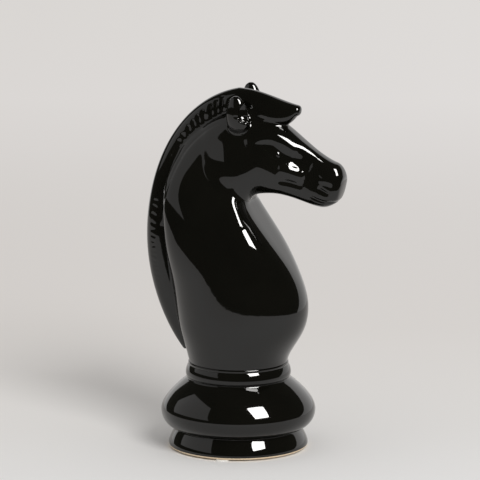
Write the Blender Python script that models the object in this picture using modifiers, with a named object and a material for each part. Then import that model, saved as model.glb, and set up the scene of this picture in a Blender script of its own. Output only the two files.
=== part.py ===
"""Chess knight ornament: a slip-cast, glazed ceramic horse's head on a turned foot.

The clay parts are modelled apart, as they are cast and luted together: the horse casting, the turned base
casting, the mane, the forelock and two ears. Three stick-on pads lift the bare rim off the floor.
+X is where the horse faces, +Y is its left, +Z is up. Lengths in the tables are millimetres, measured from
the axis of the turned base; AXIS_X puts that axis in the frame, whose origin is under the middle of the box.
"""

import math

import bmesh
import bpy
import numpy as np

MM = 0.001

# Driving dimensions, millimetres
AXIS_X = -7.2  # the base axis, measured from the middle of the whole length
JOINT_GAP = 0.3  # between luted pieces
WALL = 6.0  # cast wall
PAD_THICK = 1.2
PAD_DIA = 12.7
PAD_RADIUS = 59.5  # pad centres, from the base axis
PAD_ANGLES = {"pad_right": -86.0, "pad_front": 34.0, "pad_back": 154.0}
TURN_STEPS = 72
EAR_AROUND, SEAT_AROUND = 20, 18  # points round an ear, and round what its neighbours are trimmed to
NECK_DOME = 7.0  # depth of the domes that close the lofts
HEAD_DOMES = (6.0, 1.6)
MANE_DOME = 1.6
FORELOCK_DOME = 3.2
EAR_TIP_RISE = 1.0
BASE_STEPS = 5  # points along each curve of the profile
SHARP_ANGLE = math.radians(40)

# Each loft has a lower or back edge and an upper or front edge, both chains of cubic Bezier curves in the
# plane of symmetry (x, z), and cross-sections evenly spaced along them: half width, egg, squareness
NECK_BACK = (
    (-45.5, 81.35), (-48.5, 94), (-55, 110), (-58, 131),
    (-61.5, 156), (-67, 196), (-66.5, 232), (-66, 270), (-38, 306), (1, 318.5),
)
NECK_FRONT = (
    (45.5, 81.35), (48, 95), (65.5, 107), (65.5, 131),
    (66, 166), (25, 207), (14.5, 228), (8, 241), (8, 275), (24, 309),
)
NECK_SECTIONS = (
    (45.5, 0, 2), (46.5, 0, 2), (47.5, 0, 2.1), (48, 0, 2.1), (46.5, 0.03, 2.4),
    (42.5, 0.04, 3.6), (35.5, 0.02, 4.4), (25.5, 0, 3), (20.5, 0, 2.3), (16.5, 0, 2),
)
HEAD_JAW = (
    (-18, 262), (-17, 252), (-10, 241), (-2, 238), (10, 234.5), (30, 243), (46, 239.5),
    (58, 237.5), (70, 231), (82, 230), (87, 230), (93, 233), (96.5, 236.5),
)
HEAD_BROW = (
    (-22, 304), (-14, 312), (0, 319), (14, 319), (30, 319), (46, 304), (61, 292),
    (72, 283.5), (84, 274.5), (94, 271.5), (97, 270.5), (101, 266), (102, 260.5),
)
HEAD_SECTIONS = (
    (18, -0.12, 2.1), (21, -0.17, 2), (24.5, -0.17, 2), (24.5, -0.1, 2.1), (17, -0.08, 3.3),
    (12.8, -0.02, 3.4), (14, -0.03, 2.8), (13.5, 0, 2.7), (12, 0, 2.5),
)
MANE_INNER = (
    (-2, 309), (-38, 293), (-57, 252), (-57.5, 200), (-57.5, 160), (-46, 122), (-41, 95),
)
MANE_OUTER = (
    (1, 336), (-54, 325), (-88, 265), (-88, 195), (-88, 150), (-70, 110), (-53, 88),
)
MANE_SECTIONS = (
    (10, 0, 2), (12, 0, 2), (13, 0, 2), (13.5, 0, 2), (12.5, 0, 2), (9.5, 0, 2), (3.5, 0, 2),
)
FORELOCK_UNDER = ((-1, 309.5), (18, 307), (42, 291), (56.5, 312.5))
FORELOCK_TOP = ((2, 336), (22, 335.5), (40, 326), (57.5, 322.5))
FORELOCK_SECTIONS = ((10.5, 0, 2), (12.5, -0.12, 2), (13.5, -0.15, 2), (11.5, -0.06, 2.1), (6.5, 0, 2.1))
# Rings of the right ear, from its root to its tip: centre x y z, half width along x, half thickness
EAR = (
    (6, -15.5, 296, 8, 6), (6.5, -20, 305, 10.5, 8), (6.5, -23, 315, 10.5, 7),
    (6, -23.5, 323, 8.5, 6), (5.5, -24, 329, 5.5, 4), (5.5, -24, 332, 2, 2),
)
LEFT_EAR_LIFT, LEFT_EAR_BACK = 5.0, 1.0  # the left ear was set a little higher and further back
EAR_CUP = (16.5, 26.5, 317, 8, 5, 10)  # centre x y z, radii
JOWL = (-1.5, 12, 261, 25.5, 16.5, 29.5)
# The turned profile of the base, from the joint down to the rim, as one chain of Bezier curves (radius, z)
BASE_OUTER = (
    (45.4, 81.05), (46.8, 80.8), (46.2, 79.2), (46, 78.6),
    (48.2, 75.5), (50, 69), (46.9, 66), (58, 57.5), (71.2, 45), (71.2, 35.5),
    (71.2, 27), (66, 21), (58.2, 19), (58.6, 16.5), (64, 9), (64.2, 4.5), (64.3, 3), (63.8, 2), (63, 1.55),
)
# Inside of the base, from the rim up through the vent hole and the cavity to the joint
BASE_INNER = (
    (52.5, 1.55), (51.2, 6.0), (15.0, 6.0), (15.0, 11.5), (48.0, 11.5), (54.0, 17.0), (63.0, 26.5),
    (65.0, 35.5), (61.5, 44.5), (53.0, 53.5), (41.5, 62.5), (39.4, 68.0), (39.4, 81.05),
)
EYE = (39.5, 18.5, 279.5, 5.6, 3.0, 3.6)
NOSTRIL = (84.5, 15.0, 246.4, 5.4, 3.4, 1.3)
MOUTH = (82.0, 14.6, 237.6, 11.5, 5.4, 0.8)


def smooth_rows(rows, per):
    """More rows between the given ones, on a Catmull-Rom curve through them."""
    rows = np.array(rows, float)
    ends = np.vstack([2 * rows[0] - rows[1], rows, 2 * rows[-1] - rows[-2]])
    out = []
    for i in range(len(rows) - 1):
        p0, p1, p2, p3 = ends[i : i + 4]
        for k in range(per):
            t = k / per
            out.append(
                0.5 * (2 * p1 + (p2 - p0) * t + (2 * p0 - 5 * p1 + 4 * p2 - p3) * t * t
                       + (3 * p1 - p0 - 3 * p2 + p3) * t ** 3)
            )
    out.append(rows[-1])
    return np.array(out)


def bezier(handles, count):
    """Points on a chain of cubic Bezier curves: four handles, then three more for each further curve."""
    handles = np.array(handles, float)
    t = (np.arange(count) / count)[:, None]
    out = []
    for k in range(0, len(handles) - 1, 3):
        a, b, c, d = handles[k : k + 4]
        out.append((1 - t) ** 3 * a + 3 * (1 - t) ** 2 * t * b + 3 * (1 - t) * t * t * c + t**3 * d)
    return np.vstack([*out, handles[-1:]])


def ribs(lower, upper, sections, per):
    """Ribs between two edges: lower x z, upper x z, half width, egg, squareness."""
    curves = (len(lower) - 1) // 3
    count = (len(sections) - 1) * per // curves
    return np.hstack([bezier(lower, count), bezier(upper, count), smooth_rows(sections, per)])


def skin(name, rings, collection, hidden=False):
    """One closed body over rings that all hold the same number of points."""
    bm = bmesh.new()
    loops = [[bm.verts.new((p + (AXIS_X, 0.0, 0.0)) * MM) for p in ring] for ring in rings]
    count = len(rings[0])
    for low, high in zip(loops, loops[1:]):
        for i in range(count):
            j = (i + 1) % count
            bm.faces.new((low[i], low[j], high[j], high[i]))
    for loop, ring in ((loops[0], rings[0]), (loops[-1], rings[-1])):
        middle = bm.verts.new((np.mean(ring, axis=0) + (AXIS_X, 0.0, 0.0)) * MM)
        for i in range(count):
            bm.faces.new((loop[i], loop[(i + 1) % count], middle))
    bmesh.ops.recalc_face_normals(bm, faces=bm.faces)
    return finish(name, bm, collection, hidden)


def finish(name, bm, collection, hidden=False):
    mesh = bpy.data.meshes.new(name)
    bm.to_mesh(mesh)
    bm.free()
    mesh.shade_smooth()
    mesh.set_sharp_from_angle(angle=SHARP_ANGLE)
    obj = bpy.data.objects.new(name, mesh)
    collection.objects.link(obj)
    if hidden:
        obj.hide_render = True
        obj.display_type = "WIRE"
    return obj


def rib_rings(rows, around, grow=0.0, cap=(0.0, 0.0)):
    """Rings over ribs that stand in the plane of symmetry; cap is the depth of a dome at each end."""
    angle = np.arange(around) * 2 * math.pi / around

    def ring(row, scale=1.0, push=None):
        a, b = np.array((row[0], 0.0, row[1])), np.array((row[2], 0.0, row[3]))
        centre, half = (a + b) / 2, np.linalg.norm(b - a) / 2
        along = (b - a) / (2 * half)
        u, v = np.cos(angle), np.sin(angle)
        u = np.sign(u) * np.abs(u) ** (2 / row[6])
        v = np.sign(v) * np.abs(v) ** (2 / row[6])
        width = (row[4] + grow) * (1 + row[5] * u) * v * scale
        points = centre + np.outer(u * (half + grow) * scale, along) + np.outer(width, (0.0, 1.0, 0.0))
        return points if push is None else points + push

    def outward(row, inner):
        a, b = np.array((row[0], 0.0, row[1])), np.array((row[2], 0.0, row[3]))
        along = (b - a) / np.linalg.norm(b - a)
        normal = np.array((along[2], 0.0, -along[0]))
        away = (a + b) / 2 - np.array(((inner[0] + inner[2]) / 2, 0.0, (inner[1] + inner[3]) / 2))
        return normal if normal @ away > 0 else -normal

    domes = []
    for row, inner, depth in ((rows[0], rows[1], cap[0]), (rows[-1], rows[-2], cap[1])):
        way = outward(row, inner)
        domes.append([])
        if depth:
            for turn in (30, 55, 75):
                t = math.radians(turn)
                domes[-1].append(ring(row, math.cos(t), way * (depth + grow) * math.sin(t)))
    return domes[0][::-1] + [ring(row) for row in rows] + domes[1]


def shrunk(rows, wall):
    """The same ribs, a wall thickness smaller all round."""
    out = []
    for row in rows:
        a, b = np.array(row[0:2]), np.array(row[2:4])
        along = (b - a) / np.linalg.norm(b - a)
        a, b = a + along * wall, b - along * wall
        out.append((a[0], a[1], b[0], b[1], row[4] - wall, row[5], row[6]))
    return out


def ear_rings(rows, side, lift, around, grow=0.0):
    rings = []
    for x, y, z, wide, thick in smooth_rows(rows, 2):
        angle = np.arange(around) * 2 * math.pi / around
        grown = max(0.0, min(1.0, (z - 305.0) / 25.0))
        back = LEFT_EAR_BACK * grown if side > 0 else 0.0
        rings.append(np.stack([
            x - back + (wide + grow) * np.cos(angle),
            -side * y + (thick + grow) * np.sin(angle),
            np.full(around, z + lift * grown),
        ], axis=1))
    top = rings[-1]
    centre = top.mean(axis=0)
    rings.append(centre + (top - centre) * 0.55 + (0.0, 0.0, EAR_TIP_RISE))
    return rings


def ball(name, centre, radii, collection, segments=24, tilt=(0.0, 0.0, 0.0)):
    bm = bmesh.new()
    bmesh.ops.create_uvsphere(bm, u_segments=segments, v_segments=segments // 2, radius=1.0)
    obj = finish(name, bm, collection, hidden=True)
    obj.location = [(c + o) * MM for c, o in zip(centre, (AXIS_X, 0.0, 0.0))]
    obj.scale = [r * MM for r in radii]
    obj.rotation_euler = [math.radians(t) for t in tilt]
    return obj


def boolean(obj, operation, other):
    mod = obj.modifiers.new(operation.lower() + "_" + other.name, "BOOLEAN")
    mod.operation = operation
    mod.solver = "EXACT"
    mod.object = other


def material(obj, colour, roughness, coat=0.0):
    mat = bpy.data.materials.new(obj.name + "_material")
    mat.use_nodes = True
    shader = mat.node_tree.nodes["Principled BSDF"]
    shader.inputs["Base Color"].default_value = (*colour, 1.0)
    shader.inputs["Roughness"].default_value = roughness
    shader.inputs["Coat Weight"].default_value = coat
    obj.data.materials.append(mat)


for old in list(bpy.data.objects):
    bpy.data.objects.remove(old, do_unlink=True)
scene = bpy.context.scene
parts = bpy.data.collections.new("knight_ornament")
helpers = bpy.data.collections.new("cutters")
scene.collection.children.link(parts)
scene.collection.children.link(helpers)

# The turned base: a closed profile swept round the base axis
profile = [*bezier(BASE_OUTER, BASE_STEPS), *BASE_INNER]
base_mesh = bpy.data.meshes.new("base")
base_mesh.from_pydata(
    [(r * MM, 0.0, z * MM) for r, z in profile],
    [(i, (i + 1) % len(profile)) for i in range(len(profile))],
    [],
)
base = bpy.data.objects.new("base", base_mesh)
base.location = (AXIS_X * MM, 0.0, 0.0)
parts.objects.link(base)
turn = base.modifiers.new("turn", "SCREW")
turn.angle = 2 * math.pi
turn.steps = turn.render_steps = TURN_STEPS
turn.use_merge_vertices = True
turn.merge_threshold = 0.00002
turn.use_normal_calculate = False

# The horse casting
neck = ribs(NECK_BACK, NECK_FRONT, NECK_SECTIONS, 3)
head_ribs = ribs(HEAD_JAW, HEAD_BROW, HEAD_SECTIONS, 3)
horse = skin("horse", rib_rings(neck, 44, cap=(0.0, NECK_DOME)), parts)
head = skin("head_solid", rib_rings(head_ribs, 36, cap=HEAD_DOMES), helpers, hidden=True)
boolean(horse, "UNION", head)
for side, tag in ((-1, "right"), (1, "left")):
    x, y, z, rx, ry, rz = JOWL
    boolean(horse, "UNION", ball("jowl_" + tag, (x, side * y, z), (rx, ry, rz), helpers))
    x, y, z, rx, ry, rz = EYE
    boolean(horse, "UNION", ball("eye_" + tag, (x, side * y, z), (rx, ry, rz), helpers, 14, (0, 35, 0)))
    x, y, z, rx, ry, rz = NOSTRIL
    nostril = ball("nostril_" + tag, (x, side * y, z), (rx, ry, rz), helpers, 14, (0, 28, 0))
    boolean(horse, "DIFFERENCE", nostril)
    x, y, z, rx, ry, rz = MOUTH
    mouth = ball("mouth_" + tag, (x, side * y, z), (rx, ry, rz), helpers, 20, (0, 20, 0))
    boolean(horse, "DIFFERENCE", mouth)
neck_hollow = [(-38.5, 74.0, 38.5, 74.0, 38.5, 0.0, 2.0), *shrunk(neck[:-4:2], WALL)]
boolean(horse, "DIFFERENCE", skin("neck_hollow", rib_rings(neck_hollow, 28, cap=(0.0, 4.0)), helpers, True))
head_hollow = shrunk(head_ribs[2:-3:2], WALL)
boolean(horse, "DIFFERENCE", skin("head_hollow", rib_rings(head_hollow, 20, cap=(3.0, 3.0)), helpers, True))

# What the luted pieces are trimmed to: the horse, larger by the gap
grow = JOINT_GAP * 1.5
neck_seat = skin("neck_seat", rib_rings(neck, 44, grow=grow, cap=(0.0, NECK_DOME)), helpers, True)
head_seat = skin("head_seat", rib_rings(head_ribs, 36, grow=grow, cap=HEAD_DOMES), helpers, True)

mane_ribs = ribs(MANE_INNER, MANE_OUTER, MANE_SECTIONS, 4)
forelock_ribs = ribs(FORELOCK_UNDER, FORELOCK_TOP, FORELOCK_SECTIONS, 3)
mane = skin("mane", rib_rings(mane_ribs, 22, cap=(0.0, MANE_DOME)), parts)
forelock = skin("forelock", rib_rings(forelock_ribs, 22, cap=(0.0, FORELOCK_DOME)), parts)
ears = {
    "ear_right": skin("ear_right", ear_rings(EAR, -1, 0.0, EAR_AROUND), parts),
    "ear_left": skin("ear_left", ear_rings(EAR, 1, LEFT_EAR_LIFT, EAR_AROUND), parts),
}
ear_seats = [
    skin("ear_right_seat", ear_rings(EAR, -1, 0.0, SEAT_AROUND, grow=JOINT_GAP * 1.2), helpers, True),
    skin("ear_left_seat", ear_rings(EAR, 1, LEFT_EAR_LIFT, SEAT_AROUND, grow=JOINT_GAP * 1.2), helpers, True),
]
for piece in (mane, forelock):
    for seat in (neck_seat, head_seat, *ear_seats):
        boolean(piece, "DIFFERENCE", seat)
for tag, side in (("right", -1), ("left", 1)):
    ear = ears["ear_" + tag]
    boolean(ear, "DIFFERENCE", head_seat)
    boolean(ear, "DIFFERENCE", neck_seat)
    x, y, z, rx, ry, rz = EAR_CUP
    lift, back = (LEFT_EAR_LIFT * 0.45, LEFT_EAR_BACK * 0.45) if side > 0 else (0.0, 0.0)
    cup = ball("cup_" + tag, (x - back, side * y, z + lift), (rx, ry, rz), helpers, 18)
    boolean(ear, "DIFFERENCE", cup)

# The stick-on pads
pads = []
for name, degrees in PAD_ANGLES.items():
    bm = bmesh.new()
    bmesh.ops.create_cone(
        bm, cap_ends=True, segments=32, radius1=PAD_DIA / 2 * MM, radius2=PAD_DIA / 2 * MM,
        depth=PAD_THICK * MM,
    )
    pad = finish(name, bm, parts)
    angle = math.radians(degrees)
    pad.location = (
        (AXIS_X + PAD_RADIUS * math.cos(angle)) * MM, PAD_RADIUS * math.sin(angle) * MM, PAD_THICK / 2 * MM
    )
    pads.append(pad)

for piece in (horse, base, mane, forelock, *ears.values()):
    material(piece, (0.004, 0.004, 0.0045), 0.06, 1.0)
for pad in pads:
    material(pad, (0.82, 0.81, 0.78), 0.85)
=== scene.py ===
"""Chess knight ornament in thick black glaze: the finished surfaces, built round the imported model.

Lengths in the tables are millimetres from the axis of the turned base: +X is where the horse faces, +Y its
left, +Z up. Each clay piece is a distance field on a grid (lofts joined softly, then modelled with strokes),
turned into a mesh whose points and normals are taken from the field, so the glaze reflects cleanly.
"""

import math

import bmesh
import bpy
import numpy as np
import openvdb as vdb
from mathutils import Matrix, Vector


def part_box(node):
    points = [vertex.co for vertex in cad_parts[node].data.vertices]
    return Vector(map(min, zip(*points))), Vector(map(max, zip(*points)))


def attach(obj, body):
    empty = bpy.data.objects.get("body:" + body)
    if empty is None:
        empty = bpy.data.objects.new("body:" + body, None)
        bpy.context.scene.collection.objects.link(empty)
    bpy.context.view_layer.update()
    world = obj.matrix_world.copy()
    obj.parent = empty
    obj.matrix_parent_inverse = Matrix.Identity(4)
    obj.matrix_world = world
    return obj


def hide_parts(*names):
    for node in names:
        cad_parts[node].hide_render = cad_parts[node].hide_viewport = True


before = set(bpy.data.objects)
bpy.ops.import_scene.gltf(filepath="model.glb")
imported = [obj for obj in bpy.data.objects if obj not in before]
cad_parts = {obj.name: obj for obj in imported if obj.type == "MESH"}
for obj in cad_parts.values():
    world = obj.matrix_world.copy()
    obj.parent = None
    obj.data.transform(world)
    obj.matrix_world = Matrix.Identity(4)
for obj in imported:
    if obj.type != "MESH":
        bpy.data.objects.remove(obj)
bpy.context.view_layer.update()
MM = 0.001
base_low, base_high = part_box("base")
AXIS_X = (base_low[0] + base_high[0]) / 2

# ---------------------------------------------------------------- shapes shared with the CAD
# Each loft has a lower or back edge and an upper or front edge, both chains of cubic Bezier curves in the
# plane of symmetry (x, z), and cross-sections evenly spaced along them: half width, egg, squareness
NECK_BACK = (
    (-45.5, 81.35), (-48.5, 94), (-55, 110), (-58, 131),
    (-61.5, 156), (-67, 196), (-66.5, 232), (-66, 270), (-38, 306), (1, 318.5),
)
NECK_FRONT = (
    (45.5, 81.35), (48, 95), (65.5, 107), (65.5, 131),
    (66, 166), (25, 207), (14.5, 228), (8, 241), (8, 275), (24, 309),
)
NECK_SECTIONS = (
    (45.5, 0, 2), (46.5, 0, 2), (47.5, 0, 2.1), (48, 0, 2.1), (46.5, 0.03, 2.4),
    (42.5, 0.04, 3.6), (35.5, 0.02, 4.4), (25.5, 0, 3), (20.5, 0, 2.3), (16.5, 0, 2),
)
HEAD_JAW = (
    (-18, 262), (-17, 252), (-10, 241), (-2, 238), (10, 234.5), (30, 243), (46, 239.5),
    (58, 237.5), (70, 231), (82, 230), (87, 230), (93, 233), (96.5, 236.5),
)
HEAD_BROW = (
    (-22, 304), (-14, 312), (0, 319), (14, 319), (30, 319), (46, 304), (61, 292),
    (72, 283.5), (84, 274.5), (94, 271.5), (97, 270.5), (101, 266), (102, 260.5),
)
HEAD_SECTIONS = (
    (18, -0.12, 2.1), (21, -0.17, 2), (24.5, -0.17, 2), (24.5, -0.1, 2.1), (17, -0.08, 3.3),
    (12.8, -0.02, 3.4), (14, -0.03, 2.8), (13.5, 0, 2.7), (12, 0, 2.5),
)
MANE_INNER = (
    (-2, 309), (-38, 293), (-57, 252), (-57.5, 200), (-57.5, 160), (-46, 122), (-41, 95),
)
MANE_OUTER = (
    (1, 336), (-54, 325), (-88, 265), (-88, 195), (-88, 150), (-70, 110), (-53, 88),
)
MANE_SECTIONS = (
    (10, 0, 2), (12, 0, 2), (13, 0, 2), (13.5, 0, 2), (12.5, 0, 2), (9.5, 0, 2), (3.5, 0, 2),
)
FORELOCK_UNDER = ((-1, 309.5), (18, 307), (42, 291), (56.5, 312.5))
FORELOCK_TOP = ((2, 336), (22, 335.5), (40, 326), (57.5, 322.5))
FORELOCK_SECTIONS = ((10.5, 0, 2), (12.5, -0.12, 2), (13.5, -0.15, 2), (11.5, -0.06, 2.1), (6.5, 0, 2.1))
# Rings of the right ear, from its root to its tip: centre x y z, half width along x, half thickness
EAR = (
    (6, -15.5, 296, 8, 6), (6.5, -20, 305, 10.5, 8), (6.5, -23, 315, 10.5, 7),
    (6, -23.5, 323, 8.5, 6), (5.5, -24, 329, 5.5, 4), (5.5, -24, 332, 2, 2),
)
LEFT_EAR_LIFT, LEFT_EAR_BACK = 5.0, 1.0  # the left ear was set a little higher and further back
EAR_CUP = (16.5, 26.5, 317, 8, 5, 10)  # centre x y z, radii
JOWL = (-1.5, 12, 261, 25.5, 16.5, 29.5)
# The turned profile of the base, from the joint down to the rim, as one chain of Bezier curves (radius, z)
BASE_OUTER = (
    (45.4, 81.05), (46.8, 80.8), (46.2, 79.2), (46, 78.6),
    (48.2, 75.5), (50, 69), (46.9, 66), (58, 57.5), (71.2, 45), (71.2, 35.5),
    (71.2, 27), (66, 21), (58.2, 19), (58.6, 16.5), (64, 9), (64.2, 4.5), (64.3, 3), (63.8, 2), (63, 1.55),
)
BASE_INNER = (
    (52.5, 1.55), (51.2, 6.0), (15.0, 6.0), (15.0, 11.5), (48.0, 11.5), (54.0, 17.0), (63.0, 26.5),
    (65.0, 35.5), (61.5, 44.5), (53.0, 53.5), (41.5, 62.5), (39.4, 68.0), (39.4, 81.05),
)
JOINT_Z = 81.35
SEAM_X = 1.6  # where the mane ends and the forelock starts
WALL = 6.0


# ---------------------------------------------------------------- curves and rings
def smooth_rows(rows, per):
    """More rows between the given ones, on a Catmull-Rom curve through them."""
    rows = np.array(rows, float)
    ends = np.vstack([2 * rows[0] - rows[1], rows, 2 * rows[-1] - rows[-2]])
    t = (np.arange(per) / per)[:, None]
    out = []
    for p0, p1, p2, p3 in zip(ends, ends[1:], ends[2:], ends[3:]):
        out.append(0.5 * (2 * p1 + (p2 - p0) * t + (2 * p0 - 5 * p1 + 4 * p2 - p3) * t**2
                          + (3 * p1 - p0 - 3 * p2 + p3) * t**3))
    return np.vstack([*out, rows[-1:]])


def bezier(handles, count):
    """Points on a chain of cubic Bezier curves: four handles, then three more for each further curve."""
    handles = np.array(handles, float)
    t = (np.arange(count) / count)[:, None]
    out = []
    for k in range(0, len(handles) - 1, 3):
        a, b, c, d = handles[k : k + 4]
        out.append((1 - t) ** 3 * a + 3 * (1 - t) ** 2 * t * b + 3 * (1 - t) * t * t * c + t**3 * d)
    return np.vstack([*out, handles[-1:]])


def ribs(lower, upper, sections, per):
    """Ribs between two edges: lower x z, upper x z, half width, egg, squareness."""
    curves = (len(lower) - 1) // 3
    count = (len(sections) - 1) * per // curves
    return np.hstack([bezier(lower, count), bezier(upper, count), smooth_rows(sections, per)])


def rib_ring(row, turn, scale=1.0):
    a, b = np.array((row[0], 0.0, row[1])), np.array((row[2], 0.0, row[3]))
    half = np.linalg.norm(b - a) / 2
    u, v = np.cos(turn), np.sin(turn)
    u = np.sign(u) * np.abs(u) ** (2 / row[6])
    v = np.sign(v) * np.abs(v) ** (2 / row[6])
    width = row[4] * (1 + row[5] * u) * v * scale
    return (a + b) / 2 + np.outer(u * half * scale, (b - a) / (2 * half)) + np.outer(width, (0, 1, 0))


def rib_rings(rows, around, cap=(0.0, 0.0)):
    """Rings over ribs in the plane of symmetry; cap is the depth of the dome at each end."""
    turn = np.arange(around) * 2 * math.pi / around
    domes = []
    for row, inner, depth in ((rows[0], rows[1], cap[0]), (rows[-1], rows[-2], cap[1])):
        along = np.array((row[2] - row[0], 0.0, row[3] - row[1]))
        normal = np.array((along[2], 0.0, -along[0])) / np.linalg.norm(along)
        away = np.array((row[0] + row[2] - inner[0] - inner[2], 0.0, row[1] + row[3] - inner[1] - inner[3]))
        normal = normal if normal @ away > 0 else -normal
        steps = [math.radians(d) for d in (15, 30, 45, 58, 70, 80)] if depth else []
        domes.append([rib_ring(row, turn, math.cos(t)) + normal * depth * math.sin(t) for t in steps])
    return domes[0][::-1] + [rib_ring(row, turn) for row in rows] + domes[1]


def ear_rings(rows, side, lift, around):
    turn = np.arange(around) * 2 * math.pi / around
    rings = []
    for x, y, z, wide, thick in smooth_rows(rows, 6):
        grown = min(1.0, max(0.0, (z - 305.0) / 25.0))
        x = x - (LEFT_EAR_BACK * grown if side > 0 else 0.0)
        rings.append(np.stack([x + wide * np.cos(turn), -side * y + thick * np.sin(turn),
                               np.full(around, z + lift * grown)], axis=1))
    return rings


# ---------------------------------------------------------------- distance fields
def soft_min(a, b, reach):
    h = np.clip(0.5 + 0.5 * (b - a) / reach, 0.0, 1.0)
    return b + (a - b) * h - reach * h * (1 - h)


def soft_max(a, b, reach):
    return -soft_min(-a, -b, reach)


class Block:
    """A box of space cut into cubes; its fields hold a signed distance in millimetres, negative inside."""

    def __init__(self, low, high, step):
        self.step = step
        self.start = np.floor(np.array(low) / step).astype(int)
        self.shape = tuple(int(n) for n in np.ceil(np.array(high) / step).astype(int) - self.start + 1)
        axes = [(np.arange(n) + s) * step for n, s in zip(self.shape, self.start)]
        self.x, self.y, self.z = (
            axes[0].astype(np.float32)[:, None, None],
            axes[1].astype(np.float32)[None, :, None],
            axes[2].astype(np.float32)[None, None, :],
        )

    def loft(self, rings, band=16.0):
        """The distance to a closed skin over the rings."""
        count = len(rings[0])
        points = np.vstack([*rings, rings[0].mean(axis=0), rings[-1].mean(axis=0)])
        i = np.arange(count)
        j = (i + 1) % count
        faces = []
        for k in range(len(rings) - 1):
            low, high = k * count, (k + 1) * count
            faces.append(np.stack([low + i, low + j, high + j], 1))
            faces.append(np.stack([low + i, high + j, high + i], 1))
        last = (len(rings) - 1) * count
        faces.append(np.stack([j, i, np.full(count, len(points) - 2)], 1))
        faces.append(np.stack([last + i, last + j, np.full(count, len(points) - 1)], 1))
        faces = np.vstack(faces).astype(np.int32)
        corners = points[faces]
        if np.einsum("ij,ij->i", corners[:, 0], np.cross(corners[:, 1], corners[:, 2])).sum() < 0:
            faces = faces[:, ::-1]
        grid = vdb.FloatGrid.createLevelSetFromPolygons(
            points.astype(np.float32), triangles=np.ascontiguousarray(faces),
            transform=vdb.createLinearTransform(voxelSize=self.step), halfWidth=band / self.step,
        )
        out = np.empty(self.shape, np.float32)
        grid.copyToArray(out, ijk=tuple(int(s) for s in self.start))
        return out

    def ellipsoid(self, centre, radii, pitch=0.0):
        """pitch turns it about Y, in degrees, nose down."""
        c, s = math.cos(math.radians(pitch)), math.sin(math.radians(pitch))
        x, y, z = self.x - centre[0], self.y - centre[1], self.z - centre[2]
        x, z = x * c - z * s, x * s + z * c
        a, b, d = x / radii[0], y / radii[1], z / radii[2]
        k0 = np.sqrt(a * a + b * b + d * d)
        k1 = np.sqrt((a / radii[0]) ** 2 + (b / radii[1]) ** 2 + (d / radii[2]) ** 2)
        return (k0 * (k0 - 1) / np.maximum(k1, 1e-6)).astype(np.float32)

    def blur(self, field, sigma):
        """Gaussian smoothing; sigma in millimetres."""
        s = sigma / self.step
        if s < 0.3:
            return field
        reach = max(1, int(math.ceil(2.6 * s)))
        weights = np.exp(-0.5 * (np.arange(-reach, reach + 1) / s) ** 2)
        weights /= weights.sum()
        for axis in range(3):
            padded = np.pad(field, [(reach, reach) if k == axis else (0, 0) for k in range(3)], "edge")
            total = np.zeros_like(field)
            for k, w in enumerate(weights):
                cut = [slice(None)] * 3
                cut[axis] = slice(k, k + field.shape[axis])
                total += np.float32(w) * padded[tuple(cut)]
            field = total
        return field

    def sample(self, field, points):
        """The field at points, straight between grid values."""
        p = points / self.step - self.start
        p = np.clip(p, 0, np.array(self.shape) - 1.001)
        i = p.astype(np.int64)
        f = (p - i).astype(np.float32)
        i0, i1, i2 = i[:, 0], i[:, 1], i[:, 2]
        f0, f1, f2 = f[:, 0], f[:, 1], f[:, 2]
        low = (field[i0, i1, i2] * (1 - f0) + field[i0 + 1, i1, i2] * f0) * (1 - f1) + (
            field[i0, i1 + 1, i2] * (1 - f0) + field[i0 + 1, i1 + 1, i2] * f0) * f1
        high = (field[i0, i1, i2 + 1] * (1 - f0) + field[i0 + 1, i1, i2 + 1] * f0) * (1 - f1) + (
            field[i0, i1 + 1, i2 + 1] * (1 - f0) + field[i0 + 1, i1 + 1, i2 + 1] * f0) * f1
        return low * (1 - f2) + high * f2

    def gradient(self, field, points):
        out = np.empty((len(points), 3), np.float32)
        for axis in range(3):
            push = np.zeros(3)
            push[axis] = self.step * 0.75
            out[:, axis] = self.sample(field, points + push) - self.sample(field, points - push)
        return out / (1.5 * self.step)

    def resample(self, other, field, far=20.0):
        """other's field on this block's grid, and far beyond the other's box."""
        out = np.full(self.shape, far, np.float32)
        cuts = []
        pairs = zip((self.x, self.y, self.z), (other.x, other.y, other.z))
        for axis, (here, there) in enumerate(pairs):
            here, there = here.ravel(), there.ravel()
            inside = np.where((here >= there[0]) & (here <= there[-1]))[0]
            if not len(inside):
                return out
            cuts.append(slice(inside[0], inside[-1] + 1))
            spot = (here[inside] - there[0]) / other.step
            low = np.minimum(spot.astype(int), len(there) - 2)
            part = (spot - low).astype(np.float32).reshape([-1 if k == axis else 1 for k in range(3)])
            field = np.take(field, low, axis) * (1 - part) + np.take(field, low + 1, axis) * part
        out[tuple(cuts)] = field
        return out

    def side(self, field, x, z, sign):
        """The y of the outermost surface at (x, z) on that side."""
        y = sign * np.arange(0.0, 60.0, 0.25)
        points = np.stack([np.full(len(y), x), y, np.full(len(y), z)], 1)
        inside = np.where(self.sample(field, points) < 0)[0]
        return float(y[inside[-1]]) if len(inside) else 0.0

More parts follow.
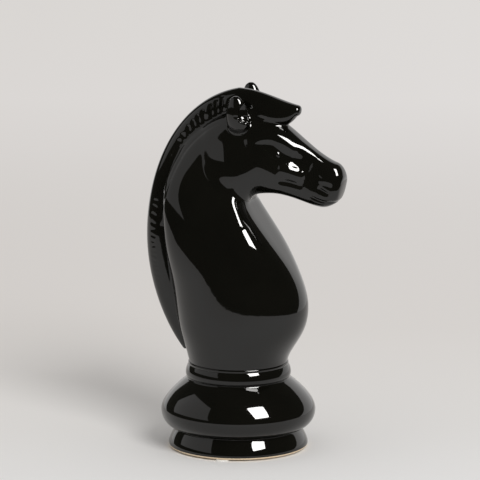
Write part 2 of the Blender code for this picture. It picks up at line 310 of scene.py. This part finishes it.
    def stroke3(self, field, points, width, amount, taper=True):
        points = np.array(points, float)
        reach = 3.0 * width
        low = np.floor((points.min(0) - reach) / self.step).astype(int) - self.start
        high = np.ceil((points.max(0) + reach) / self.step).astype(int) - self.start + 1
        low, high = np.maximum(low, 0), np.minimum(high, self.shape)
        if (high <= low).any():
            return
        cut = tuple(slice(a, b) for a, b in zip(low, high))
        x, y, z = self.x[cut[0]], self.y[:, cut[1]], self.z[:, :, cut[2]]
        best = np.full(tuple(high - low), 1e9, np.float32)
        where = np.zeros_like(best)
        lengths = np.linalg.norm(np.diff(points, axis=0), axis=1)
        along = np.concatenate([[0], np.cumsum(lengths)])
        for a, b, s, length in zip(points, points[1:], along, lengths):
            d = (b - a) / max(length, 1e-9)
            t = np.clip((x - a[0]) * d[0] + (y - a[1]) * d[1] + (z - a[2]) * d[2], 0, length)
            gap = (x - a[0] - d[0] * t) ** 2 + (y - a[1] - d[1] * t) ** 2 + (z - a[2] - d[2] * t) ** 2
            closer = gap < best
            best = np.where(closer, gap, best)
            where = np.where(closer, (s + t) / along[-1], where)
        strength = amount * np.exp(-best / (2 * width * width))
        if taper:
            strength *= np.clip(4.0 * where * (1 - where), 0, 1) ** 0.6
        field[cut] -= strength.astype(np.float32)

    def skin(self, field, shade, coarse=1):
        """(points, faces, normals) of the field's surface, in millimetres. Normals come from shade, the
        field of the whole object, where the surface is its surface; coarse skips grid points."""
        field = np.ascontiguousarray(field)
        thin = np.ascontiguousarray(field[::coarse, ::coarse, ::coarse])
        start = self.start / coarse
        grid = vdb.FloatGrid(4.0 * self.step * coarse)
        grid.transform = vdb.createLinearTransform(voxelSize=1.0)
        grid.gridClass = vdb.GridClass.LEVEL_SET
        grid.copyFromArray(np.clip(thin, -4.0 * self.step * coarse, 4.0 * self.step * coarse))
        points, faces = grid.convertToQuads(isovalue=0.0)
        points = (points.astype(np.float64) + start) * self.step * coarse
        faces = faces.astype(np.int64)
        edges = np.vstack([faces[:, [0, 1]], faces[:, [1, 2]], faces[:, [2, 3]], faces[:, [3, 0]]])
        degree = np.bincount(edges.ravel(), minlength=len(points))[:, None]
        for turn in range(9):
            if turn % 3 != 2:
                total = np.zeros_like(points)
                for k in range(3):
                    total[:, k] = np.bincount(edges[:, 0], points[edges[:, 1], k], len(points))
                    total[:, k] += np.bincount(edges[:, 1], points[edges[:, 0], k], len(points))
                points += 0.5 * (total / np.maximum(degree, 1) - points)
            value = self.sample(field, points)
            slope = self.gradient(field, points)
            size = np.maximum((slope**2).sum(1), 0.05)
            step = np.clip(value / size, -self.step, self.step)
            points -= step[:, None] * slope
        normals = self.gradient(field, points)
        whole = np.abs(self.sample(shade, points)) < 0.35
        normals[whole] = self.gradient(shade, points[whole])
        normals /= np.maximum(np.linalg.norm(normals, axis=1), 1e-6)[:, None]
        a, b, c = (points[faces[:, k]] for k in range(3))
        face_normal = np.cross(b - a, c - a)
        if (face_normal * normals[faces[:, 0]]).sum() < 0:
            faces = faces[:, ::-1]
        return points, faces, normals


# ---------------------------------------------------------------- materials
def new_material(name):
    mat = bpy.data.materials.new(name)
    mat.use_nodes = True
    tree = mat.node_tree
    return mat, tree, tree.nodes["Principled BSDF"]


def add(tree, kind, **settings):
    node = tree.nodes.new(kind)
    for key, value in settings.items():
        if key in node.inputs.keys():
            node.inputs[key].default_value = value
        else:
            setattr(node, key, value)
    return node


def ramp(tree, source, stops):
    node = tree.nodes.new("ShaderNodeValToRGB")
    tree.links.new(source, node.inputs["Fac"])
    elements = node.color_ramp.elements
    while len(elements) < len(stops):
        elements.new(0.5)
    for element, (position, colour) in zip(elements, stops):
        element.position = position
        element.color = (*colour, 1.0) if isinstance(colour, tuple) else (colour, colour, colour, 1.0)
    return node.outputs["Color"]


def noise(tree, scale, detail=2.0, roughness=0.5):
    coords = tree.nodes.new("ShaderNodeTexCoord")
    node = add(tree, "ShaderNodeTexNoise", Scale=scale, Detail=detail, Roughness=roughness)
    tree.links.new(coords.outputs["Object"], node.inputs["Vector"])
    return node.outputs["Fac"]


def glaze_material():
    """Thick gloss black glaze: nearly even, a little lighter and warmer in random patches, with faint orange
    peel.
    """
    mat, tree, shader = new_material("black_glaze")
    tone = noise(tree, 22.0, 3.0)
    tree.links.new(ramp(tree, tone, ((0.3, (0.0020, 0.0020, 0.0014)), (0.7, (0.0034, 0.0032, 0.0023)))),
                   shader.inputs["Base Color"])
    tree.links.new(ramp(tree, noise(tree, 60.0, 4.0), ((0.35, 0.028), (0.75, 0.055))),
                   shader.inputs["Roughness"])
    shader.inputs["IOR"].default_value = 1.52
    bump = add(tree, "ShaderNodeBump", Strength=0.05, Distance=0.0004)
    tree.links.new(noise(tree, 130.0, 1.0), bump.inputs["Height"])
    tree.links.new(bump.outputs["Normal"], shader.inputs["Normal"])
    return mat


def clay_material():
    """Bare fired clay, wiped at the rim: cream, matt and finely grained."""
    mat, tree, shader = new_material("bare_clay")
    tone = ramp(tree, noise(tree, 350.0, 4.0), ((0.3, (0.70, 0.55, 0.38)), (0.7, (0.84, 0.70, 0.52))))
    tree.links.new(tone, shader.inputs["Base Color"])
    shader.inputs["Roughness"].default_value = 0.75
    bump = add(tree, "ShaderNodeBump", Strength=0.3, Distance=0.0002)
    tree.links.new(noise(tree, 1500.0, 3.0), bump.inputs["Height"])
    tree.links.new(bump.outputs["Normal"], shader.inputs["Normal"])
    return mat


def felt_material():
    mat, tree, shader = new_material("white_felt")
    tone = ramp(tree, noise(tree, 900.0, 5.0), ((0.3, (0.78, 0.77, 0.74)), (0.7, (0.90, 0.89, 0.87))))
    tree.links.new(tone, shader.inputs["Base Color"])
    shader.inputs["Roughness"].default_value = 0.95
    shader.inputs["Sheen Weight"].default_value = 0.3
    bump = add(tree, "ShaderNodeBump", Strength=0.6, Distance=0.0003)
    tree.links.new(noise(tree, 2600.0, 3.0), bump.inputs["Height"])
    tree.links.new(bump.outputs["Normal"], shader.inputs["Normal"])
    return mat


GLAZE = glaze_material()
CLAY = clay_material()
FELT = felt_material()


# ---------------------------------------------------------------- objects
def place(name, points, faces, normals, material, node, slot="black_glaze"):
    """A glazed clay piece from millimetre points, which stands for a CAD node; normals are per point."""
    points = points * MM + (AXIS_X, 0.0, 0.0)
    mesh = bpy.data.meshes.new(name)
    mesh.from_pydata(points.tolist(), [], [tuple(f) for f in faces])
    mesh.update()
    mesh.polygons.foreach_set("use_smooth", np.ones(len(mesh.polygons), bool))
    if normals is not None:
        mesh.normals_split_custom_set_from_vertices(normals.tolist())
    obj = bpy.data.objects.new(name, mesh)
    bpy.context.scene.collection.objects.link(obj)
    for mat in material if isinstance(material, tuple) else (material,):
        mesh.materials.append(mat)
    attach(obj, "root")
    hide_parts(node)
    return obj


# ---------------------------------------------------------------- the fields of the clay pieces
HORSE_STEP, CREST_STEP, EAR_STEP = ((0.7, 0.6, 0.45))
OVERLAP = 1.5  # how far a piece runs on under its neighbour
SINK = 0.06  # how far it lies below it there


NECK_RIBS = ribs(NECK_BACK, NECK_FRONT, NECK_SECTIONS, 12)
HEAD_RIBS = ribs(HEAD_JAW, HEAD_BROW, HEAD_SECTIONS, 12)
MANE_RIBS = ribs(MANE_INNER, MANE_OUTER, MANE_SECTIONS, 16)
FORELOCK_RIBS = ribs(FORELOCK_UNDER, FORELOCK_TOP, FORELOCK_SECTIONS, 8)
SOCKET = (-44.0, 66.0, 44.0, 66.0, 44.0, 0.0, 2.0)  # carries the neck's field on below the joint


def horse_field():
    block = Block((-94, -56, 66), (110, 56, 344), HORSE_STEP)
    field = block.loft(rib_rings([SOCKET, *NECK_RIBS], 144, cap=(0.0, 7.0)))
    head = block.loft(rib_rings(HEAD_RIBS, 144, cap=(6.0, 1.6)))
    field = soft_min(field, head, 9.0)
    x, y, z, rx, ry, rz = JOWL
    for side in (-1, 1):
        field = soft_min(field, block.ellipsoid((x, side * y, z), (rx, ry, rz)), 7.0)
    return block, block.blur(field, 0.8)


def crest_field():
    """The mane and the forelock as one loft; they part at SEAM_X."""
    block = Block((-94, -20, 84), (66, 20, 344), CREST_STEP)
    rows = [*MANE_RIBS[::-1], *FORELOCK_RIBS[4:]]
    field = block.loft(rib_rings(rows, 88, cap=(1.6, 3.2)), band=8.0)
    return block, block.blur(field, 0.5)


def ear_field(side, lift):
    low_y, high_y = (-38, -6) if side < 0 else (6, 38)
    block = Block((-12, low_y, 288), (28, high_y, 344), EAR_STEP)
    field = block.loft(ear_rings(EAR, side, lift, 96), band=6.0)
    x, y, z, rx, ry, rz = EAR_CUP
    cup = block.ellipsoid((x, side * y, z + lift * 0.45), (rx, ry, rz))
    return block, soft_max(block.blur(field, 0.5), -cup, 1.2)


SOURCES = {
    "horse": horse_field(),
    "crest": crest_field(),
    "right_ear": ear_field(-1, 0.0),
    "left_ear": ear_field(1, LEFT_EAR_LIFT),
}


def fields_on(block):
    """Every clay piece's field on one block's grid, first the ones that lie on top."""
    found = {}
    for name, (source, field) in SOURCES.items():
        found[name] = field if source is block else block.resample(source, field)
    crest = found.pop("crest")
    ears = found.pop("right_ear"), found.pop("left_ear")
    found["mane"] = np.maximum(crest, block.x - SEAM_X)
    found["forelock"] = np.maximum(crest, SEAM_X - block.x)
    found["right_ear"], found["left_ear"] = ears
    whole = soft_min(found["horse"], crest, 2.4)
    for ear in ears:
        whole = soft_min(whole, ear, 1.6)
    return found, whole


def along_mane(share, depth):
    """A side-view point at a share of the mane's length, that deep in from its outer edge."""
    row = MANE_RIBS[int(round(min(max(share, 0.0), 1.0) * (len(MANE_RIBS) - 1)))]
    outer, inner = row[2:4], row[0:2]
    return outer + (inner - outer) / np.linalg.norm(inner - outer) * depth


def mane_strokes():
    """The groove by the neck, the ridge and fine groove beside it, the nine locks, and short nicks below."""
    strokes = []
    shares = np.linspace(0.03, 0.50, 22)
    middle = np.interp(shares, (0.04, 0.24), (18.4, 13.2))
    strokes.append(([along_mane(s, d) for s, d in zip(shares, middle)], 2.4, -2.4))
    strokes.append(([along_mane(s, d + 4.8) for s, d in zip(shares[:-1], middle)], 1.7, 0.9))
    strokes.append(([along_mane(s, d + 8.6) for s, d in zip(shares[:-2], middle)], 0.9, -0.6))
    for k in range(9):
        share = 0.05 + 0.024 * k
        depth = float(np.interp(share, shares, middle))
        reach = 13.0 - 1.3 * k
        width, amount = 1.3, 0.1 * k - 2.4
        tip = along_mane(share - 0.012, depth - 1.0 - reach)
        strokes.append(([along_mane(share, depth + 0.5), tip], width, amount))
    for k in range(19):
        share = 0.42 + 0.018 * k
        start, end = along_mane(share, 12.5), along_mane(share - 0.006, 6.5)
        strokes.append(([start, end], 1.1, -0.38 + 0.012 * k))
    return strokes


def forelock_strokes():
    strokes = []
    rows = FORELOCK_RIBS
    for low, high, first, last, amount in (
        (0.10, 0.20, 5, 20, -0.9), (0.20, 0.34, 3, 19, -0.8), (0.02, 0.10, 8, 19, -0.7),
    ):
        path = []
        for k in range(first, last, 2):
            share = low + (high - low) * (k - first) / (last - first)
            path.append(rows[k][0:2] * (1 - share) + rows[k][2:4] * share)
        strokes.append((path, 0.75, amount))
    return strokes


# Strokes that raise or sink the surface: side-view path x z, width, amount, all in millimetres
FACE = (
    (((14, 288), (28, 294), (40, 296), (50, 291), (61, 282)), 3.4, 1.8),  # brow
    (((18, 284), (32, 285), (44, 280), (56, 274), (66, 271)), 5.2, -3.3),  # hollow under it
    (((22, 300), (30, 303), (38, 299)), 3.0, -1.2),  # dip of the forehead
    (((56, 275), (64, 273), (74, 268)), 5.5, -2.0),  # hollow beside the nose
    (((44, 267), (55, 263.5), (67, 258)), 4.4, 4.4),  # facial crest
    (((43, 255), (54, 253.5), (65, 250)), 1.6, -1.2),  # crease of the cheek
    (((44, 251), (54, 249.5), (65, 246)), 2.0, 0.9),  # fold under the crease
    (((22, 247), (45, 246), (68, 239)), 3.0, 0.5),  # jaw
    (((0, 246), (4, 234), (15, 211)), 3.4, 1.3),  # cord of the throat
    (((80, 257), (88, 258), (96, 256)), 3.0, 0.9),  # flare of the nostril
    (((80, 249), (90, 244)), 1.1, -2.6),  # nostril
    (((70, 242), (84, 237), (97, 236)), 0.9, -1.7),  # mouth
    (((73, 238), (88, 233.5)), 1.8, 0.7),  # lower lip
)
EYE = (39.5, 279.5, 6, 1.5, 3.2, 16)  # x z, radii, pitch
LIDS = (
    (((32.5, 281), (38, 284), (47.5, 276)), 1.1, 0.5),
    (((33, 279), (38, 275.5), (43, 274.5)), 1.1, 0.35),
)


def sculpt_points(block, whole, strokes):
    """The strokes laid on both sides of the surface: points, width, amount."""
    laid = []
    for path, width, amount in strokes:
        path = smooth_rows(path, 5) if len(path) > 2 else np.array(path, float)
        for sign in (-1, 1):
            points = np.array([(x, block.side(whole, x, z, sign), z) for x, z in path])
            laid.append((points, width, amount))
    return laid


horse_block = SOURCES["horse"][0]
first_fields, first_whole = fields_on(horse_block)
BROAD = sculpt_points(horse_block, first_whole, [s for s in FACE if s[1] >= 2.0])
EYES = []
for points, width, amount in BROAD:
    horse_block.stroke3(first_whole, points, width, amount)
for sign in (-1, 1):
    eye_x, eye_z, eye_rx, eye_ry, eye_rz, eye_pitch = EYE
    eye_y = horse_block.side(first_whole, eye_x, eye_z, sign)
    EYES.append(((eye_x, eye_y - sign * 1.6, eye_z), (eye_rx, eye_ry, eye_rz), eye_pitch))
for centre, radii, pitch in EYES:
    first_whole = soft_min(first_whole, horse_block.ellipsoid(centre, radii, pitch), 0.8)
fine = [*[s for s in FACE if s[1] < 2.0], *LIDS, *mane_strokes(), *forelock_strokes()]
FINE = sculpt_points(horse_block, first_whole, fine)


def sculpted(block, whole, sigma):
    """The whole object's field with every stroke and the eyes."""
    for points, width, amount in BROAD:
        block.stroke3(whole, points, width, amount)
    for centre, radii, pitch in EYES:
        if block.x.min() < centre[0] < block.x.max() and block.z.min() < centre[2] < block.z.max():
            whole = soft_min(whole, block.ellipsoid(centre, radii, pitch), 0.8)
    for points, width, amount in FINE:
        block.stroke3(whole, points, width, amount)
    return block.blur(whole, sigma)


ORDER = ("horse", "mane", "forelock", "right_ear", "left_ear")


def own_part(name, fields, whole):
    """One piece's share of the whole, run on a little under the pieces that lie over it."""
    own = fields[name]
    others = np.minimum.reduce([fields[other] for other in ORDER if other != name])
    share = own - np.maximum(0.0, others + OVERLAP)
    over = [fields[other] for other in ORDER[: ORDER.index(name)]]
    if over:
        over = np.minimum.reduce(over)
        whole = whole + SINK * np.clip((own - over) / OVERLAP + 1.0, 0.0, 1.0)
        share = np.maximum(share, -over - OVERLAP)
    return np.maximum(whole, share)


def clay_skin(name, block, sigma, coarse=1):
    fields, whole = fields_on(block)
    whole = sculpted(block, whole, sigma)
    return block.skin(own_part(name, fields, whole), whole, coarse)


# ---------------------------------------------------------------- the horse casting
def cut_hollow(points, faces, normals, inner_rings):
    """Cuts the skin at the joint, adds the cast inside and closes the annulus between them."""
    bm = bmesh.new()
    store = bm.verts.layers.float_vector.new("field_normal")
    verts = [bm.verts.new(p) for p in points]
    for f in faces:
        bm.faces.new([verts[i] for i in f])
    for v, n in zip(verts, normals):
        v[store] = n
    geom = [*bm.verts, *bm.edges, *bm.faces]
    bmesh.ops.bisect_plane(bm, geom=geom, plane_co=(0, 0, JOINT_Z), plane_no=(0, 0, 1), clear_inner=True)
    outer = [e for e in bm.edges if e.is_boundary]
    count = len(inner_rings[0])
    loops = [[bm.verts.new(p) for p in ring] for ring in inner_rings]
    for low, high in zip(loops, loops[1:]):
        for i in range(count):
            j = (i + 1) % count
            bm.faces.new((low[j], low[i], high[i], high[j]))
    top = bm.verts.new(inner_rings[-1].mean(axis=0))
    for i in range(count):
        bm.faces.new((loops[-1][(i + 1) % count], loops[-1][i], top))
    inner = [e for e in bm.edges if e.is_boundary and e not in set(outer)]
    bmesh.ops.bridge_loops(bm, edges=[*outer, *inner])
    bm.normal_update()
    bm.verts.ensure_lookup_table()
    bm.verts.index_update()
    loop_normals = []
    for face in bm.faces:
        flat = abs(face.normal.z) > 0.98 and all(abs(v.co.z - JOINT_Z) < 0.01 for v in face.verts)
        for v in face.verts:
            n = Vector(v[store])
            if flat:
                loop_normals.append(tuple(face.normal))
            elif n.length > 0.5:
                loop_normals.append(tuple(n))
            else:
                loop_normals.append(tuple(v.normal))
    return bm, loop_normals


def shrunk(rows, wall):
    out = []
    for row in rows:
        a, b = np.array(row[0:2]), np.array(row[2:4])
        along = (b - a) / np.linalg.norm(b - a)
        a, b = a + along * wall, b - along * wall
        out.append((a[0], a[1], b[0], b[1], row[4] - wall, row[5], row[6]))
    return out


skin_points, skin_faces, skin_normals = clay_skin("horse", horse_block, 0.5, 2)
hollow_rows = [(-39.0, JOINT_Z, 39.0, JOINT_Z, 39.0, 0.0, 2.0), *shrunk(NECK_RIBS[6:-12:3], WALL)]
horse_bm, horse_loops = cut_hollow(
    skin_points, skin_faces, skin_normals, rib_rings(hollow_rows, 56, cap=(0.0, 4.0))
)
for v in horse_bm.verts:
    v.co = v.co * MM + Vector((AXIS_X, 0, 0))
horse_mesh = bpy.data.meshes.new("horse_casting")
horse_bm.to_mesh(horse_mesh)
horse_bm.free()
horse_mesh.attributes.remove(horse_mesh.attributes["field_normal"])
horse_mesh.polygons.foreach_set("use_smooth", np.ones(len(horse_mesh.polygons), bool))
horse_mesh.normals_split_custom_set(horse_loops)
horse_obj = bpy.data.objects.new("horse_casting", horse_mesh)
bpy.context.scene.collection.objects.link(horse_obj)
horse_mesh.materials.append(GLAZE)
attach(horse_obj, "root")
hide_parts("horse")

crest_block = SOURCES["crest"][0]
place("mane_crest", *clay_skin("mane", crest_block, 0.45), GLAZE, "mane")
place("forelock_tuft", *clay_skin("forelock", crest_block, 0.45), GLAZE, "forelock")
place("right_ear", *clay_skin("right_ear", SOURCES["right_ear"][0], 0.35), GLAZE, "ear_right")
place("left_ear", *clay_skin("left_ear", SOURCES["left_ear"][0], 0.35), GLAZE, "ear_left")


# ---------------------------------------------------------------- the turned base
def turned(name, profile, steps, material, node, slot):
    turn = np.arange(steps) * 2 * math.pi / steps
    count = len(profile)
    points = np.stack([
        np.outer(profile[:, 0], np.cos(turn)), np.outer(profile[:, 0], np.sin(turn)),
        np.outer(profile[:, 1], np.ones(steps)),
    ], -1).reshape(-1, 3)
    faces = []
    for i in range(count):
        j = (i + 1) % count
        for k in range(steps):
            m = (k + 1) % steps
            faces.append((i * steps + k, j * steps + k, j * steps + m, i * steps + m))
    obj = place(name, points, faces, None, material, node, slot)
    bm = bmesh.new()
    bm.from_mesh(obj.data)
    bmesh.ops.recalc_face_normals(bm, faces=bm.faces)
    bm.to_mesh(obj.data)
    bm.free()
    return obj


base_profile = np.vstack([bezier(BASE_OUTER, 24), np.array(((61.6, 1.5), (54.0, 1.5))),
                          np.array(BASE_INNER)])
base_obj = turned("turned_base", base_profile, 224, (GLAZE, CLAY), "base", "black_glaze")
BARE_HEIGHT, BARE_RADIUS = 0.0031, 0.050  # the glaze is wiped off below this height, outside this radius
for poly in base_obj.data.polygons:
    c = poly.center
    radius = math.hypot(c.x - AXIS_X, c.y)
    if c.z < BARE_HEIGHT and radius > BARE_RADIUS:
        poly.material_index = 1


# ---------------------------------------------------------------- the pads
def pad(node):
    low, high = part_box(node)
    middle = ((low[0] + high[0]) / 2, (low[1] + high[1]) / 2)
    radius, thick = (high[0] - low[0]) / 2, high[2] - low[2]
    steps = 64
    bm = bmesh.new()
    profile = [(0.0, thick), (0.80, thick), (0.95, thick - 0.00008), (1.0, thick - 0.0003),
               (1.0, 0.0003), (0.96, 0.00006), (0.82, 0.0), (0.0, 0.0)]
    turns = [k * 2 * math.pi / steps for k in range(steps)]
    wave = [1 + 0.004 * math.sin(5 * t + 1) + 0.003 * math.sin(11 * t) for t in turns]
    rings = []
    for r, z in profile:
        if r == 0.0:
            rings.append([bm.verts.new((*middle, low[2] + z))])
            continue
        ring = []
        for t, uneven in zip(turns, wave):
            reach = r * radius * (uneven if r > 0.9 else 1.0) * 0.995
            x, y = middle[0] + reach * math.cos(t), middle[1] + reach * math.sin(t)
            ring.append(bm.verts.new((x, y, low[2] + z)))
        rings.append(ring)
    for a, b in zip(rings, rings[1:]):
        for k in range(steps):
            j = (k + 1) % steps
            corner = [a[k % len(a)], b[k % len(b)], b[j % len(b)], a[j % len(a)]]
            corner = list(dict.fromkeys(corner))
            bm.faces.new(corner)
    bmesh.ops.recalc_face_normals(bm, faces=bm.faces)
    mesh = bpy.data.meshes.new(node + "_felt")
    bm.to_mesh(mesh)
    bm.free()
    mesh.polygons.foreach_set("use_smooth", np.ones(len(mesh.polygons), bool))
    obj = bpy.data.objects.new(node + "_felt", mesh)
    bpy.context.scene.collection.objects.link(obj)
    mesh.materials.append(FELT)
    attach(obj, "root")
    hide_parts(node)


for node in ("pad_right", "pad_front", "pad_back"):
    pad(node)


# ---------------------------------------------------------------- camera
CAMERA_AZIMUTH = math.radians(18.0)
TO_CAMERA = Vector((math.sin(CAMERA_AZIMUTH), -math.cos(CAMERA_AZIMUTH), 0.0))
RIGHT = Vector((math.cos(CAMERA_AZIMUTH), math.sin(CAMERA_AZIMUTH), 0.0))
base_axis = Vector((AXIS_X, 0.0, 0.0))
camera_data = bpy.data.cameras.new("camera")
camera_data.sensor_width = 36.0
camera_data.lens = 375.5
camera_data.clip_start, camera_data.clip_end = 0.1, 200.0
camera = bpy.data.objects.new("camera", camera_data)
bpy.context.scene.collection.objects.link(camera)
camera.location = base_axis + TO_CAMERA * 4.5 + Vector((0, 0, 1.1233))
target = base_axis + RIGHT * 0.00153 + Vector((0, 0, 0.1937))
camera.rotation_mode = "QUATERNION"
camera.rotation_quaternion = (target - camera.location).to_track_quat("-Z", "Y")
bpy.context.scene.camera = camera


# ---------------------------------------------------------------- studio
def direction(azimuth, elevation):
    """azimuth from the camera's side of the object, positive to its right; elevation above the horizon."""
    a, e = math.radians(azimuth), math.radians(elevation)
    return (TO_CAMERA * math.cos(a) + RIGHT * math.sin(a)) * math.cos(e) + Vector((0, 0, math.sin(e)))


def emitter(name, strength, colour=(1.0, 1.0, 1.0)):
    mat = bpy.data.materials.new(name)
    mat.use_nodes = True
    tree = mat.node_tree
    tree.nodes.clear()
    light = add(tree, "ShaderNodeEmission", Strength=strength, Color=(*colour, 1.0))
    out = tree.nodes.new("ShaderNodeOutputMaterial")
    tree.links.new(light.outputs[0], out.inputs[0])
    return mat


def screen(name, corners, distance, strength, colour=(1.0, 1.0, 1.0)):
    """A studio panel that shows only in the glaze; corners are directions from low on the base axis."""
    mesh = bpy.data.meshes.new(name)
    points = [direction(azimuth, elevation) * distance for azimuth, elevation in corners]
    centre = sum(points, Vector()) / len(points)
    count = len(points)
    mesh.from_pydata([*points, centre], [], [(k, (k + 1) % count, count) for k in range(count)])
    obj = bpy.data.objects.new(name, mesh)
    bpy.context.scene.collection.objects.link(obj)
    obj.location = base_axis + Vector((0, 0, 0.046))
    mesh.materials.append(emitter(name, strength, colour))
    obj.visible_camera = obj.visible_diffuse = obj.visible_shadow = False
    obj.visible_transmission = obj.visible_volume_scatter = False
    return obj


PANEL_DISTANCE = 1.6
PANEL_WHITE = (1.0, 0.985, 0.97)
SOFTBOX = ((22, 63), (61, 58), (50, 31), (27, 30))
SIDE_PANEL = ((-118, 44), (-95, 52), (-62, 54), (-45, 14), (-112, 10), (-126, 26))
BACKDROP_RIGHT = ((95, -8), (140, 28), (145, 50), (180, 52), (180, -8))
BACKDROP_LEFT = ((-180, 52), (-145, 45), (-150, 5), (-125, -8), (-180, -8))
screen("softbox", SOFTBOX, PANEL_DISTANCE, 32.0, (1.0, 0.985, 0.96))
screen("side_panel", SIDE_PANEL, PANEL_DISTANCE, 0.62, PANEL_WHITE)
screen("backdrop_right", BACKDROP_RIGHT, PANEL_DISTANCE, 0.92, PANEL_WHITE)
screen("backdrop_left", BACKDROP_LEFT, PANEL_DISTANCE, 0.92, PANEL_WHITE)

FAR_TONE = (0.716, 0.694, 0.672)


def floor_with_painted_light():
    """Pale paper, lit near the object, with painted light in its colour: lighter in front of the object than
    behind it, a soft painted glow further off that grows lighter into the distance, and painted light that
    makes it lighter to one side.
    """
    mat, tree, shader = new_material("floor")
    shader.inputs["Roughness"].default_value = 0.9
    shader.inputs["Specular IOR Level"].default_value = 0.0
    where = tree.nodes.new("ShaderNodeNewGeometry")

    def along(way, low, high):
        dot = add(tree, "ShaderNodeVectorMath", operation="DOT_PRODUCT")
        dot.inputs[1].default_value = way
        tree.links.new(where.outputs["Position"], dot.inputs[0])
        span = add(tree, "ShaderNodeMapRange")
        span.inputs["From Min"].default_value, span.inputs["From Max"].default_value = low, high
        tree.links.new(dot.outputs["Value"], span.inputs["Value"])
        return span.outputs["Result"]

    # Painted side light: the colour is multiplied darker to the left and lighter to the right.
    def with_painted_side_light(colour):
        across = along(RIGHT, -0.3, 0.3)
        side = ramp(tree, across, ((0.0, (0.975, 0.972, 0.970)), (1.0, (1.018, 1.018, 1.022))))
        mix = add(tree, "ShaderNodeMix", data_type="RGBA", blend_type="MULTIPLY")
        mix.inputs["Factor"].default_value = 1.0
        tree.links.new(colour, mix.inputs[6])
        tree.links.new(side, mix.inputs[7])
        return mix.outputs[2]

    depth = along(-TO_CAMERA, -0.4, 3.2)
    # Painted light in the paper's colour: lightest just in front of the object, darker behind it.
    near = ramp(tree, depth, ((0.04, (0.90, 0.91, 0.925)), (0.13, (0.835, 0.832, 0.830)),
                              (0.25, (0.79, 0.775, 0.765))))
    # Painted glow further off, in place of lit paper: darker just behind the object and lighter into the
    # distance, up to the backdrop's tone.
    far = ramp(tree, depth, ((0.20, (0.640, 0.614, 0.596)), (0.30, (0.646, 0.618, 0.600)),
                             (0.42, (0.668, 0.642, 0.622)), (0.62, (0.722, 0.698, 0.680)),
                             (0.86, FAR_TONE)))
    tree.links.new(with_painted_side_light(near), shader.inputs["Base Color"])
    light = add(tree, "ShaderNodeEmission", Strength=1.0)
    tree.links.new(with_painted_side_light(far), light.inputs["Color"])
    # From 0.45 m to 1.5 m off the object the lit paper gives way to the painted glow.
    length = add(tree, "ShaderNodeVectorMath", operation="LENGTH")
    tree.links.new(where.outputs["Position"], length.inputs[0])
    reach = add(tree, "ShaderNodeMapRange")
    reach.inputs["From Min"].default_value, reach.inputs["From Max"].default_value = 0.45, 1.5
    tree.links.new(length.outputs["Value"], reach.inputs["Value"])
    mix = tree.nodes.new("ShaderNodeMixShader")
    tree.links.new(reach.outputs["Result"], mix.inputs["Fac"])
    tree.links.new(shader.outputs[0], mix.inputs[1])
    tree.links.new(light.outputs[0], mix.inputs[2])
    tree.links.new(mix.outputs[0], tree.nodes["Material Output"].inputs["Surface"])
    return mat


def disc(name, radius, height, material, shift=(0.0, 0.0)):
    """A round sheet of the studio floor."""
    bm = bmesh.new()
    bmesh.ops.create_circle(bm, cap_ends=True, segments=96, radius=radius)
    mesh = bpy.data.meshes.new(name)
    bm.to_mesh(mesh)
    bm.free()
    obj = bpy.data.objects.new(name, mesh)
    obj.location = (AXIS_X + shift[0], shift[1], height)
    bpy.context.scene.collection.objects.link(obj)
    mesh.materials.append(material)
    return obj


PAINTED_LIGHT_FLOOR = floor_with_painted_light()
NEAR_FLOOR_RADIUS = 1.1  # the only floor that the glaze reflects, set back and to the left
shift = (-TO_CAMERA - RIGHT) * 0.35
disc("floor_near", NEAR_FLOOR_RADIUS, 0.0, PAINTED_LIGHT_FLOOR, shift=(shift.x, shift.y))
# The far sheet of floor, which shows the painted glow; the glaze does not reflect it.
far_floor_painted_glow = disc("floor", 60.0, -0.0004, PAINTED_LIGHT_FLOOR)
far_floor_painted_glow.visible_glossy = False

sun_data = bpy.data.lights.new("key", "SUN")
sun_data.energy = 1.75
sun_data.angle = math.radians(27)
sun_data.color = (1.0, 0.985, 0.96)
sun = bpy.data.objects.new("key", sun_data)
bpy.context.scene.collection.objects.link(sun)
sun.rotation_mode = "QUATERNION"
sun.rotation_quaternion = direction(26, 34).to_track_quat("Z", "Y")
sun.visible_glossy = False

world = bpy.data.worlds.new("studio")
bpy.context.scene.world = world
world.use_nodes = True
tree = world.node_tree
tree.nodes.clear()
path = tree.nodes.new("ShaderNodeLightPath")
seen = add(tree, "ShaderNodeBackground", Color=(*FAR_TONE, 1.0), Strength=1.0)
room = add(tree, "ShaderNodeBackground", Color=(1.0, 0.97, 0.80, 1.0), Strength=0.05)
ambient = add(tree, "ShaderNodeBackground", Color=(1.0, 0.975, 0.945, 1.0), Strength=0.535)
glossy_mix = tree.nodes.new("ShaderNodeMixShader")
camera_mix = tree.nodes.new("ShaderNodeMixShader")
out = tree.nodes.new("ShaderNodeOutputWorld")
tree.links.new(path.outputs["Is Glossy Ray"], glossy_mix.inputs["Fac"])
tree.links.new(ambient.outputs[0], glossy_mix.inputs[1])
tree.links.new(room.outputs[0], glossy_mix.inputs[2])
tree.links.new(path.outputs["Is Camera Ray"], camera_mix.inputs["Fac"])
tree.links.new(glossy_mix.outputs[0], camera_mix.inputs[1])
tree.links.new(seen.outputs[0], camera_mix.inputs[2])
tree.links.new(camera_mix.outputs[0], out.inputs["Surface"])

bpy.context.scene.view_settings.view_transform = "Standard"
bpy.context.scene.view_settings.look = "None"
